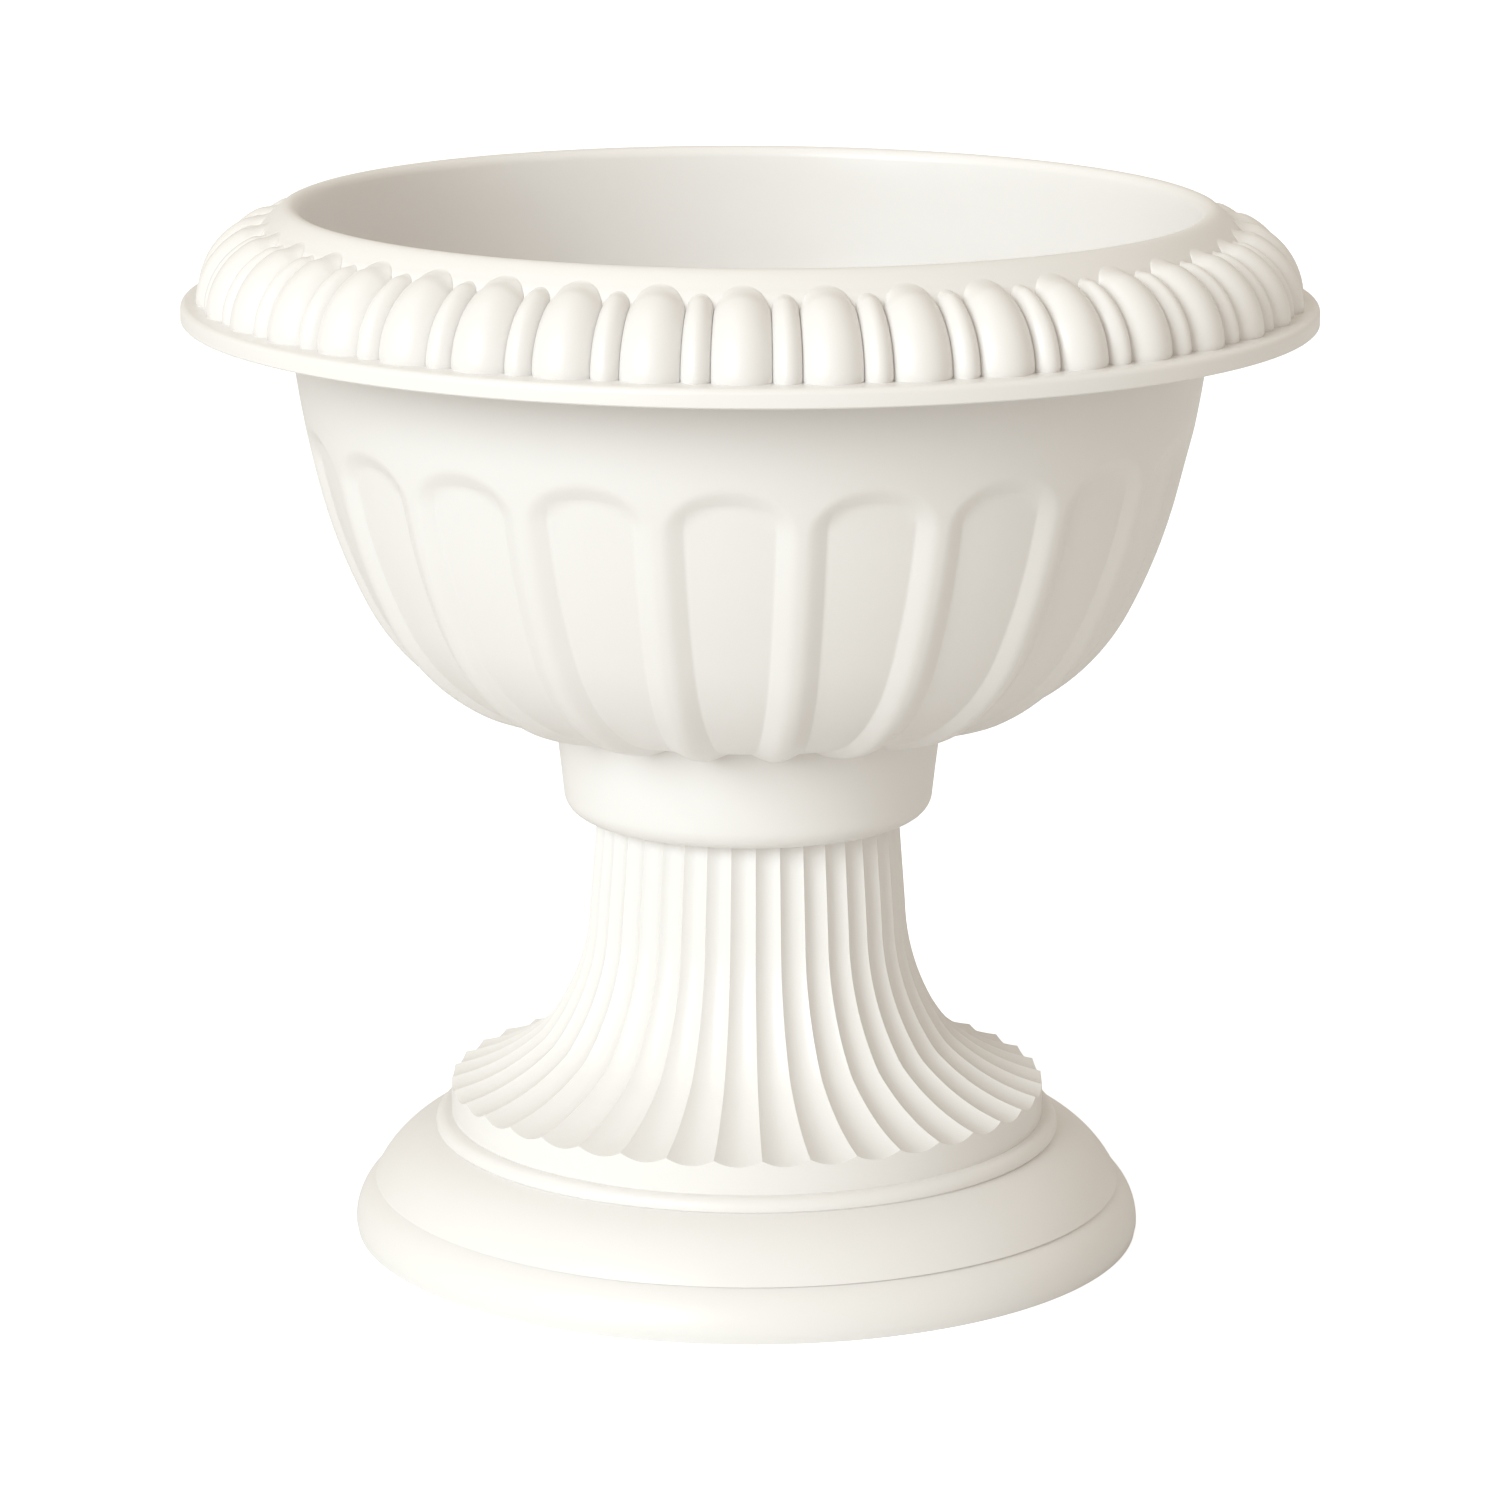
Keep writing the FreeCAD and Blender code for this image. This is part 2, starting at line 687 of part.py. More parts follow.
def make_pedestal():
    body = new_body("pedestal")
    wall = dim.WallThickness
    fluted_stem(body)
    scallop_end = dim.FlareHeight - dim.ScallopRoom
    turned(body, "flare_edge", "Groove", [
        (dim.FlareRadius, dim.DrumFoot),
        (dim.BandRadius, dim.DrumFoot),
        (dim.BandRadius, dim.FlareHeight + wall),
        (dim.FlareRadius, dim.FlareHeight + wall),
    ])

    # stepped foot: drum, ring, broad step and bottom band
    step = [
        (dim.FootRadius, NOTHING),
        (dim.BandRadius, dim.BandHeight, dim.BandCurve),
        (dim.StepRadius, dim.StepHeight, dim.StepCurve),
        (dim.RingRadius - wall / 4, dim.RingBottom),
    ]
    ring = [
        (dim.RingRadius, dim.RingBottom + wall / 4, dim.RingRound),
        (dim.FlareRadius + wall / 4, dim.DrumFoot),
    ]
    turned(body, "foot", "Revolution", [
        (0, 0), *step, *ring, (dim.FlareRadius, dim.DrumFoot), (dim.FlareRadius, scallop_end), (0, scallop_end),
    ])

    # hollow, open to the floor
    under_step = parallel(step, wall)
    under_stem = parallel(stem(), dim.StemWall)
    ceiling = dim.SeatHeight - dim.PlateThickness
    turned(body, "hollow", "Groove", [
        (0, 0),
        (under_step[0][0], 0),
        *under_step[1:],
        (dim.FlareRadius - wall, dim.RingBottom - wall),
        (dim.FlareRadius - wall, dim.FlareHeight - dim.StemWall, under_stem[0][2]),
        *under_stem[1:3],
        (under_stem[3][0], ceiling),
        (0, ceiling),
    ])

    # opening of the top plate, with a notch for each lug and a stop beyond each locked lug
    top = dim.SeatHeight
    sketch = sketch_on(body, "bore_outline", "XY_Plane", top)
    sketch.addGeometry(Part.Circle(Vector(), Vector(0, 0, 1), dim.LockBore.value), False)
    sketch.addConstraint(Sketcher.Constraint("Coincident", 0, 3, -1, 1))
    fix(sketch, "Radius", 0, size=dim.LockBore)
    prism(body, "bore", "Pocket", sketch, dim.PlateThickness * 2)
    reach = dim.LockBore + dim.LugReach + dim.LockClearance
    sketch = sketch_on(body, "notch_outline", "XY_Plane", top)
    sector(sketch, dim.LockBore - dim.LockClearance, reach, NOTHING, dim.NotchAngle)
    notch = prism(body, "notch", "Pocket", sketch, dim.PlateThickness * 2)
    around(body, "notches", [notch], dim.LugCount)
    stop_middle = dim.TwistAngle + dim.LugAngle / 2 + dim.StopAngle / 2 + dim.LockClearance
    sketch = sketch_on(body, "stop_outline", "XY_Plane", ceiling - dim.LugThickness)
    sector(sketch, dim.LockBore + dim.LockClearance, reach, stop_middle, dim.StopAngle)
    stop = prism(body, "stop", "Pad", sketch, dim.LugThickness + dim.PlateThickness / 2)
    around(body, "stops", [stop], dim.LugCount)
    return body


# ---------------------------------------------------------------- build, test and write

def check(parts):
    """Stops at any feature that failed and at any piece that is not one sound solid."""
    broken = [item.Name for item in doc.Objects if {"Invalid", "Error"} & set(item.State)]
    if broken:
        raise RuntimeError("failed features: " + ", ".join(broken))
    for part in parts:
        shape = part.Shape
        if shape.isNull() or not shape.isValid() or len(shape.Solids) != 1:
            raise RuntimeError(part.Label + " is not one valid solid")


parts = [make_bowl(), make_pedestal(), make_plug()]
doc.recompute()
check(parts)
os.makedirs("parts", exist_ok=True)
for part in parts:
    part.Shape.exportStep(os.path.join("parts", part.Label + ".step"))
    box = part.Shape.BoundBox
    print("{}: {:.1f} x {:.1f} x {:.1f} mm, {:.1f} cm3".format(
        part.Label, box.XLength, box.YLength, box.ZLength, part.Shape.Volume / 1000))
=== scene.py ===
# %% [markdown]
# # Garden urn
# A two-piece resin urn: a bowl with a lobed rim and arched panels, locked onto a fluted pedestal, with a
# rubber plug in its drain hole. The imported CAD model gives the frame, and the shapes that show are modelled
# here. Values are in millimetres and are turned into metres where a mesh is made. Azimuths are degrees from
# the front, -Y, growing towards +X. A line is a list of (radius, height) points, travelled in one direction.

# %% Load the frame
import math

import bpy
import numpy as np
from mathutils import Matrix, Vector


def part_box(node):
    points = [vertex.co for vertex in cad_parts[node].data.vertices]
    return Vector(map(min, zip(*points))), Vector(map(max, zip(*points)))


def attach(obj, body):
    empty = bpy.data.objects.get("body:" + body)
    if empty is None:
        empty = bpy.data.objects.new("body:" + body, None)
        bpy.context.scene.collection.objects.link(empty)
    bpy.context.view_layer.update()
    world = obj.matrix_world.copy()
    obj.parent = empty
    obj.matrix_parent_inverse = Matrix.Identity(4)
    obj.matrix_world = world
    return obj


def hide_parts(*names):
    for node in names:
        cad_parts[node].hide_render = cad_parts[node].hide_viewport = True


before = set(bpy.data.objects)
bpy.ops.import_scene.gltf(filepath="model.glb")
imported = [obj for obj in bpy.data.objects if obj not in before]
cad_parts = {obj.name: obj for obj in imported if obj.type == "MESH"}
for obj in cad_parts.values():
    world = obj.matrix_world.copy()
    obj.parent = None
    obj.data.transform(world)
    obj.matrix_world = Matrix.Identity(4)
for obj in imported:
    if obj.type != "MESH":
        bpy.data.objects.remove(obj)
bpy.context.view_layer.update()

MM = 0.001

# %% [markdown]
# ## Camera
# The photo was taken from a little above the rim with a long lens, so upright lines hardly converge. The
# camera stands in front of the urn, tilted down at it and rolled by a quarter of a degree.

# %% Camera
VIEW_DISTANCE = 2252.5
VIEW_HEIGHT = 725.7
VIEW_SIDE = 0.7
VIEW_DOWN = 13.12
VIEW_ROLL = 0.25
LENS = 135.3
SENSOR = 36.0

bpy.ops.object.camera_add()
camera = bpy.context.object
camera.name = "photo_camera"
camera.data.lens = LENS
camera.data.sensor_width = SENSOR
camera.matrix_world = (
    Matrix.Translation((VIEW_SIDE * MM, -VIEW_DISTANCE * MM, VIEW_HEIGHT * MM))
    @ Matrix.Rotation(math.radians(90.0 - VIEW_DOWN), 4, "X")
    @ Matrix.Rotation(math.radians(VIEW_ROLL), 4, "Z")
)
bpy.context.scene.camera = camera

# %% [markdown]
# ## Lines
# Both mouldings are round, so each starts as a line of points beside the axis. Straight runs need only
# their ends. A round stretch is an arc through two points with a radius, positive where its centre lies on
# the left of the travel. Distance along a line, and the direction square to it, are wanted again and again.

# %% Points along arcs
def arc(start, end, radius, steps):
    """Points from start to end along an arc, the end left out."""
    start, end = np.array(start, float), np.array(end, float)
    half = np.linalg.norm(end - start) / 2
    rise = math.copysign(math.sqrt(radius * radius - half * half), radius)
    across, up = (end - start) / (2 * half)
    centre = (start + end) / 2 + np.array([-up, across]) * rise
    first = math.atan2(start[1] - centre[1], start[0] - centre[0])
    last = math.atan2(end[1] - centre[1], end[0] - centre[0])
    if radius > 0 and last < first:
        last += 2 * math.pi
    if radius < 0 and last > first:
        last -= 2 * math.pi
    turns = first + (last - first) * np.arange(steps) / steps
    return [tuple(centre + abs(radius) * np.array([math.cos(turn), math.sin(turn)])) for turn in turns]


def line_through(stops, steps):
    """A line through stops that are (radius, height), or (radius, height, curve) where an arc leaves."""
    points = []
    for here, there in zip(stops, stops[1:]):
        if len(here) == 3:
            points += arc(here[:2], there[:2], here[2], steps)
        else:
            points.append(here)
    return points + [stops[-1][:2]]


class Line:
    """A line with its length measured, so that a place along it can be asked for."""

    def __init__(self, points):
        self.points = np.array(points, float)
        steps = np.linalg.norm(np.diff(self.points, axis=0), axis=1)
        self.run = np.concatenate([[0.0], np.cumsum(steps)])
        along = np.gradient(self.points, self.run, axis=0)
        self.along = along / np.linalg.norm(along, axis=1)[:, None]

    def at(self, run):
        """Radius, height, and the unit direction to the right of the travel, at distances along the line."""
        radius = np.interp(run, self.run, self.points[:, 0])
        height = np.interp(run, self.run, self.points[:, 1])
        across = np.interp(run, self.run, self.along[:, 0])
        up = np.interp(run, self.run, self.along[:, 1])
        return radius, height, up, -across

    def run_at_height(self, height):
        return float(np.interp(height, self.points[:, 1], self.run))


# %% [markdown]
# ## Turning and repeating
# Each moulding is made as one narrow sector, which holds one repeat of its relief. A point is extruded along
# the moulding's line, and the line is spun through the sector's angle in edit mode. Every point keeps its row
# number as an attribute, and its column follows from its azimuth, so the relief can be pressed in by moving
# points. An Array modifier then repeats the sector round the axis and welds the seams. Spinning one sector
# takes a moment, while spinning the whole ring at this fineness would take minutes.

# %% Sector blank
def turn_sector(name, line, pitch, columns):
    """Spins a closed line through one pitch, in degrees; the rows are numbered along the line."""
    bpy.ops.object.select_all(action="DESELECT")
    bpy.ops.mesh.primitive_plane_add(size=MM)
    piece = bpy.context.object
    piece.name = piece.data.name = name
    bpy.ops.object.mode_set(mode="EDIT")
    bpy.ops.mesh.select_mode(type="VERT")
    bpy.ops.mesh.merge(type="CENTER")
    # leaving edit mode once gives the single point a fresh mesh, so the extruded points are numbered in order
    bpy.ops.object.mode_set(mode="OBJECT")
    bpy.ops.object.mode_set(mode="EDIT")
    bpy.ops.mesh.select_all(action="SELECT")
    bpy.ops.transform.translate(value=(line[0][0] * MM, 0.0, line[0][1] * MM))
    for before, here in zip(line, line[1:]):
        step = ((here[0] - before[0]) * MM, 0.0, (here[1] - before[1]) * MM)
        bpy.ops.mesh.extrude_region_move(TRANSFORM_OT_translate={"value": step})
    bpy.ops.mesh.select_all(action="DESELECT")
    bpy.ops.object.mode_set(mode="OBJECT")
    rows = piece.data.attributes.new("row", "FLOAT", "POINT")
    rows.data.foreach_set("value", np.arange(len(line), dtype=np.float32))
    for end in (0, len(line) - 1):
        piece.data.vertices[end].select = True
    bpy.ops.object.mode_set(mode="EDIT")
    bpy.ops.mesh.edge_face_add()
    bpy.ops.mesh.select_all(action="SELECT")
    bpy.ops.mesh.spin(steps=columns, angle=math.radians(pitch), center=(0, 0, 0), axis=(0, 0, 1))
    bpy.ops.object.mode_set(mode="OBJECT")
    return piece


# %% Relief and repeats
def press(piece, pitch, radius, height, azimuth):
    """Moves each point of a sector to its place in the grids, whose rows and columns are the sector's."""
    mesh = piece.data
    rows = np.zeros(len(mesh.vertices), np.float32)
    mesh.attributes["row"].data.foreach_get("value", rows)
    places = np.zeros(len(mesh.vertices) * 3, np.float32)
    mesh.vertices.foreach_get("co", places)
    places = places.reshape(-1, 3)
    turn = np.degrees(np.abs(np.arctan2(places[:, 1], places[:, 0])))
    column = np.rint(turn / pitch * (radius.shape[1] - 1)).astype(int)
    row = np.rint(rows).astype(int)
    radius, height = radius[row, column] * MM, height[row, column] * MM
    azimuth = np.radians(azimuth[row, column])
    places = np.stack([radius * np.sin(azimuth), -radius * np.cos(azimuth), height], axis=1)
    mesh.vertices.foreach_set("co", places.astype(np.float32).ravel())
    mesh.attributes.remove(mesh.attributes["row"])
    mesh.update()


def repeat_round(piece, count, sharp_above=32.0):
    """Repeats a sector round the axis, welds it and turns its faces outwards."""
    bpy.ops.object.select_all(action="DESELECT")
    bpy.ops.object.empty_add()
    turner = bpy.context.object
    turner.rotation_euler = (0.0, 0.0, 2 * math.pi / count)
    bpy.ops.object.select_all(action="DESELECT")
    piece.select_set(True)
    bpy.context.view_layer.objects.active = piece
    array = piece.modifiers.new("round_the_axis", "ARRAY")
    array.count = count
    array.use_relative_offset = False
    array.use_object_offset = True
    array.offset_object = turner
    bpy.ops.object.modifier_apply(modifier=array.name)
    bpy.ops.object.mode_set(mode="EDIT")
    bpy.ops.mesh.select_all(action="SELECT")
    bpy.ops.mesh.remove_doubles(threshold=0.01 * MM)
    bpy.ops.mesh.normals_make_consistent(inside=False)
    bpy.ops.object.mode_set(mode="OBJECT")
    bpy.data.objects.remove(turner)
    bpy.ops.object.shade_smooth_by_angle(angle=math.radians(sharp_above))
    triangles = sum(len(face.vertices) - 2 for face in piece.data.polygons)
    print(piece.name, "has", triangles, "triangles")


def level(points, columns):
    """Grids of radius and height for rows that are the same in every column."""
    points = np.array(points, float)
    return (np.repeat(points[:, :1], columns, axis=1), np.repeat(points[:, 1:2], columns, axis=1))


def mirrored(half):
    """Column places on both sides of a middle one."""
    return np.concatenate([-half[:0:-1], half])


# %% [markdown]
# ## Bowl wall
# The wall swells from the collar to the rim. Twenty arched panels are sunk into it, with ribs between them
# that run down to the collar. The grid follows each panel: its columns lie along the edges of the ribs, and
# at the top they bend into the arch, as a square is bent into a disc, so the arch's edge is one clean line.

# %% Sizes of the bowl
WALL = 3.6
SEAT_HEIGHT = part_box("pedestal")[1].z / MM
LIP_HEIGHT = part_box("bowl")[1].z / MM
BRIM_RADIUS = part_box("bowl")[1].x / MM
COLLAR_TOP = (79.3, 214.8)
BOWL_TOP = (185.6, 381.0)
HOLLOW_TOP = 405.0
PANELS = 20
PANEL_AZIMUTH = -2.4
PANEL_DEPTH = 3.2
PANEL_BEVEL = 8.8
BEVEL_ROUND_PART = 0.4
BEVEL_WIDEST_SHARE = 0.7
PANEL_TOP = 343.0
ARCH_RISE = 20.0
RIB_HALF_ANGLE = 0.35
COLLAR_ROUND = 9.0
COLLAR_LOW = 75.7
LOCK_RING = (42.1, 45.5)
LOCK_DEPTH = 6.8
DRAIN_RADIUS = 9.0
WELL_ROUND = 6.0
COLLAR_BEND = (COLLAR_LOW + 1.2, 196.0)

wall = Line(line_through([
    (*COLLAR_TOP, 120.0), (112.3, 223.3, 94.2), (154.3, 262.7, 230.0), (174.6, 316.4, 417.0), BOWL_TOP,
], 60))
print("the wall is", round(wall.run[-1], 1), "mm long from the collar to the rim")


# %% Panels as a bent grid
def ramp(share):
    """Depth across a bevel: it rounds over from the rib, and meets the panel's floor in a crisp corner."""
    share = np.clip(share, 0.0, 1.0)
    rounded = share * share / (2 * BEVEL_ROUND_PART)
    straight = share - BEVEL_ROUND_PART / 2
    return np.where(share < BEVEL_ROUND_PART, rounded, straight) / (1 - BEVEL_ROUND_PART / 2)


pitch = 360.0 / PANELS
half_angle = pitch / 2 - RIB_HALF_ANGLE
rib_middle = pitch / 2 / half_angle
crown_run = wall.run_at_height(PANEL_TOP)
spring_run = crown_run - ARCH_RISE
# rows are close together at the collar, then even up to the springing of the arches
CLOSE_ROWS = [0.0, 0.004, 0.012, 0.03]
EVEN_ROWS_FROM = 0.06
EVEN_ROWS = 34
even_rows = [EVEN_ROWS_FROM + (1 - EVEN_ROWS_FROM) * step / EVEN_ROWS for step in range(EVEN_ROWS)]
upright_runs = spring_run * np.array(CLOSE_ROWS + even_rows)
bevel_foot = 1 - PANEL_BEVEL / ARCH_RISE
arch_steps = np.array([0.0, 0.12, 0.24, 0.36, 0.47, bevel_foot, 0.6, 0.68, 0.76, 0.84, 0.92, 1.0])
above_steps = np.array([0.04, 0.1, 0.2, 0.32, 0.46, 0.62, 0.8, 1.0])
FLOOR_PARTS = np.array([0.0, 0.35, 0.7, 0.94])
BEVEL_PARTS = np.array([0.0, 0.06, 0.2, 0.4, 0.62, 0.82, 1.0])
RIB_PARTS = np.array([0.5, 1.0])
EASE_BACK = 1.6


def columns_at(run):
    """Places across one pitch, as shares of the panel's half width, at one distance up the wall."""
    half = wall.at(run)[0] * math.radians(half_angle)
    foot = 1 - min(PANEL_BEVEL, BEVEL_WIDEST_SHARE * half) / half
    return mirrored(np.concatenate([
        FLOOR_PARTS * foot, foot + (1 - foot) * BEVEL_PARTS, 1 + (rib_middle - 1) * RIB_PARTS]))


def bend(u, v):
    """Bends the square above the springing into the arch; beyond its edge the grid eases back."""
    side = np.clip((np.abs(u) - 1) / (rib_middle - 1), 0.0, 1.0)
    inner = np.clip(u, -1.0, 1.0)
    x = inner * np.sqrt(1 - v * v / 2)
    y = v * np.sqrt(1 - inner * inner / 2)
    return x + side * (u - x), y + side * (v - y)


shares, runs = [], []
for run in upright_runs[:-1]:
    shares.append(columns_at(run))
    runs.append(np.full(len(shares[-1]), run))
spring_columns = columns_at(spring_run)
for step in arch_steps:
    share, rise = bend(spring_columns, step)
    shares.append(share)
    runs.append(spring_run + rise * ARCH_RISE)
crown_columns, crown_runs = shares[-1], runs[-1]
for step in above_steps:
    ease = min(1.0, step * EASE_BACK)
    shares.append(crown_columns * (1 - ease) + spring_columns * ease)
    runs.append(crown_runs * (1 - step) + wall.run[-1] * step)
shares, runs = np.array(shares), np.array(runs)
radius, height, out, up = wall.at(runs)

half_width = radius * math.radians(half_angle)
bevel = np.minimum(PANEL_BEVEL, BEVEL_WIDEST_SHARE * half_width)
rise = (runs - spring_run) / ARCH_RISE
from_middle = np.maximum(np.hypot(shares, rise), 1e-6)
slope = np.maximum(np.hypot(shares / half_width, rise / ARCH_RISE), 1e-6)
inside_arch = (1 - from_middle) * from_middle / slope
inside_sides = (1 - np.abs(shares)) * half_width
depth = PANEL_DEPTH * ramp(np.where(rise > 0, inside_arch, inside_sides) / bevel)
panel_radius, panel_height = radius - out * depth, height - up * depth
print("one pitch of the wall has", panel_radius.shape, "rows and columns")

# %% Collar, well and lock ring
seat_edge = COLLAR_LOW - COLLAR_ROUND
floor_height = SEAT_HEIGHT + WALL
columns = panel_radius.shape[1]
under_and_collar = level(
    [(DRAIN_RADIUS, floor_height), (DRAIN_RADIUS, SEAT_HEIGHT), (LOCK_RING[0], SEAT_HEIGHT),
     (LOCK_RING[0], SEAT_HEIGHT - LOCK_DEPTH), (LOCK_RING[1], SEAT_HEIGHT - LOCK_DEPTH),
     (LOCK_RING[1], SEAT_HEIGHT), (seat_edge - 0.6, SEAT_HEIGHT)]
    + arc((seat_edge, SEAT_HEIGHT), (COLLAR_LOW, SEAT_HEIGHT + COLLAR_ROUND), COLLAR_ROUND, 9)
    + [(COLLAR_LOW, SEAT_HEIGHT + COLLAR_ROUND), COLLAR_BEND, (COLLAR_LOW + 2.4, 206.0),
       (COLLAR_TOP[0] - 0.5, 212.0)], columns)
inner_runs = np.linspace(4.0, wall.run[-1], 26)
inner_radius, inner_height, inner_out, inner_up = wall.at(inner_runs)
inner_wall = list(zip(inner_radius - inner_out * WALL, inner_height - inner_up * WALL))
inside = level(
    [(BOWL_TOP[0], HOLLOW_TOP), (BOWL_TOP[0] - WALL - 1.0, HOLLOW_TOP)]
    + inner_wall[::-1]
    + arc((COLLAR_TOP[0] + 2.4, COLLAR_TOP[1] + WALL), (COLLAR_TOP[0] - WALL, COLLAR_TOP[1] - 2.4), 6.0, 5)
    + [(COLLAR_TOP[0] - WALL, COLLAR_TOP[1] - 2.4), (COLLAR_BEND[0] - WALL, COLLAR_BEND[1])]
    + arc((COLLAR_LOW - WALL, floor_height + WELL_ROUND), (COLLAR_LOW - WALL - WELL_ROUND, floor_height),
          -WELL_ROUND, 5)
    + [(COLLAR_LOW - WALL - WELL_ROUND, floor_height), (30.0, floor_height)], columns)

bowl_radius = np.vstack([under_and_collar[0], panel_radius, inside[0]])
bowl_height = np.vstack([under_and_collar[1], panel_height, inside[1]])
bowl_shares = np.vstack([
    np.repeat(shares[:1], len(under_and_collar[0]), axis=0), shares,
    np.repeat(spring_columns[None], len(inside[0]), axis=0)])
bowl_azimuth = PANEL_AZIMUTH + bowl_shares * half_angle

middle = columns // 2
bowl_line = list(zip(bowl_radius[:, middle], bowl_height[:, middle]))
bowl_wall = turn_sector("bowl_wall", bowl_line, pitch, columns - 1)
press(bowl_wall, pitch, bowl_radius, bowl_height, bowl_azimuth)
repeat_round(bowl_wall, PANELS)

# %% [markdown]
# ## Rim
# The rim is rolled over and covered in lobes, wide and narrow by turns, that end square on the flat brim and
# run out in a round top below the lip. One pitch holds a wide lobe with half a narrow one on each side. The
# grid's columns lie along the creases. At the top of each lobe they are bent into an arch, as on the panels,
# and a narrow wedge of columns opens between two neighbours, so every lobe has a clean round end.

# %% Sizes of the rim
LOBES = 40
LOBE_AZIMUTH = -0.8
BRIM_UNDER = 381.0
BRIM_TOP = 388.5
BRIM_ROUND = 2.5
ROLL_CENTRE = 189.5
ROLL_BASE = 26.2
WIDE = {"half": 11.7, "rise": 7.0, "spring": 62.5, "crown": 84.5}
NARROW = {"half": 5.7, "rise": 5.2, "spring": 67.5, "crown": 78.5}
LIP_ROUND = 4.4
LIP_RADIUS = 185.1
BAND_SLOPE = 38.0
BAND_FROM_CENTRE = 28.2
BAND_FOOT = (67.0, 80.0)
BAND_COVE = 0.8
COVE_WIDTH = 6.0
ROUND_SHARE = 0.55
lobe_pitch = 360.0 / LOBES
wide_angle = lobe_pitch / 2 * WIDE["half"] / (WIDE["half"] + NARROW["half"])
narrow_angle = lobe_pitch / 2 - wide_angle

lip_turn = math.radians(BAND_SLOPE)
lip_centre = (LIP_RADIUS, LIP_HEIGHT - LIP_ROUND)
lip_start = (lip_centre[0] + LIP_ROUND * math.sin(lip_turn), lip_centre[1] + LIP_ROUND * math.cos(lip_turn))
lip_end = (lip_centre[0] - LIP_ROUND, lip_centre[1])
band_end = math.degrees(math.atan2(lip_start[1] - BRIM_TOP, lip_start[0] - ROLL_CENTRE))


# %% Shape of a lobe
def fullness(share):
    """Height of a lobe over its foot, from 1 at its crest to 0 at its edge, where it falls off steeply."""
    share = np.clip(share, 0.0, 1.0)
    return (1 - ROUND_SHARE) * (1 - share * share) + ROUND_SHARE * np.sqrt(1 - share * share)


def band_distance(turn):
    """Distance of the plain skin from the roll's centre, at an angle above the level."""
    line = BAND_FROM_CENTRE / np.cos(np.radians(np.maximum(turn, 90 - BAND_SLOPE) - (90 - BAND_SLOPE)))
    low, high = BAND_FOOT
    ease = np.clip((turn - low) / (high - low), 0.0, 1.0)
    cove = BAND_COVE * np.exp(-((turn - high) / COVE_WIDTH) ** 2)
    return ROLL_BASE + (line - ROLL_BASE) * ease * ease * (3 - 2 * ease) - cove


def lobe_grid(lobe, across, body_rows, cap_rows, start):
    """Shares across, angles and distances from the roll's centre for one lobe, from the brim to its crown."""
    body = body_rows[:, None] * start + 0 * across
    x_body = across + 0 * body
    straight = (lobe["spring"] - start) / (lobe["crown"] - start)
    rise = np.clip((cap_rows[:, None] - straight) / (1 - straight), 0.0, 1.0) + 0 * across
    x_cap = across * np.sqrt(1 - rise * rise / 2)
    y_cap = rise * np.sqrt(1 - across * across / 2)
    up_to_spring = np.minimum(cap_rows[:, None], straight) / max(straight, 1e-6)
    below = up_to_spring * (lobe["spring"] - start) + 0 * across
    cap = start + below + y_cap * (lobe["crown"] - lobe["spring"])
    x = np.vstack([x_body, x_cap])
    y = np.vstack([0 * body, y_cap])
    turn = np.vstack([body, cap])
    base = band_distance(turn)
    crest = ROLL_BASE + lobe["rise"]
    return x, turn, base + (crest - base) * fullness(np.hypot(x, y))


# %% Lobes in one pitch
body_rows = np.linspace(0.04, 1.0, 15)
cap_rows = np.array([0.12, 0.24, 0.36, 0.48, 0.58, 0.68, 0.76, 0.84, 0.91, 0.96, 1.0])
wide_across = np.sin(np.pi / 2 * np.arange(-9, 10) / 9)
narrow_across = np.sin(np.pi / 2 * np.arange(-5, 6) / 5)
x, wide_turn, wide_distance = lobe_grid(WIDE, wide_across, body_rows, cap_rows, WIDE["spring"])
wide_azimuth = x * wide_angle
x, narrow_turn, narrow_distance = lobe_grid(NARROW, narrow_across, body_rows, cap_rows, WIDE["spring"])
narrow_azimuth = x * narrow_angle
half = len(narrow_across) // 2
left_part = (narrow_azimuth[:, half:] - lobe_pitch / 2, narrow_turn[:, half:], narrow_distance[:, half:])
right_part = (narrow_azimuth[:, :half + 1] + lobe_pitch / 2, narrow_turn[:, :half + 1],
              narrow_distance[:, :half + 1])
wedge_left = [(left_part[k][:, -1:] + (wide_azimuth, wide_turn)[k][:, :1]) / 2 for k in (0, 1)]
wedge_right = [(right_part[k][:, :1] + (wide_azimuth, wide_turn)[k][:, -1:]) / 2 for k in (0, 1)]
lobe_azimuth = np.hstack([left_part[0], wedge_left[0], wide_azimuth, wedge_right[0], right_part[0]])
lobe_turn = np.hstack([left_part[1], wedge_left[1], wide_turn, wedge_right[1], right_part[1]])
lobe_distance = np.hstack([left_part[2], band_distance(wedge_left[1]), wide_distance,
                           band_distance(wedge_right[1]), right_part[2]])
columns = lobe_azimuth.shape[1]
even = np.linspace(-lobe_pitch / 2, lobe_pitch / 2, columns)[None]
print("one pitch of the rim has", lobe_azimuth.shape, "rows and columns of lobes")

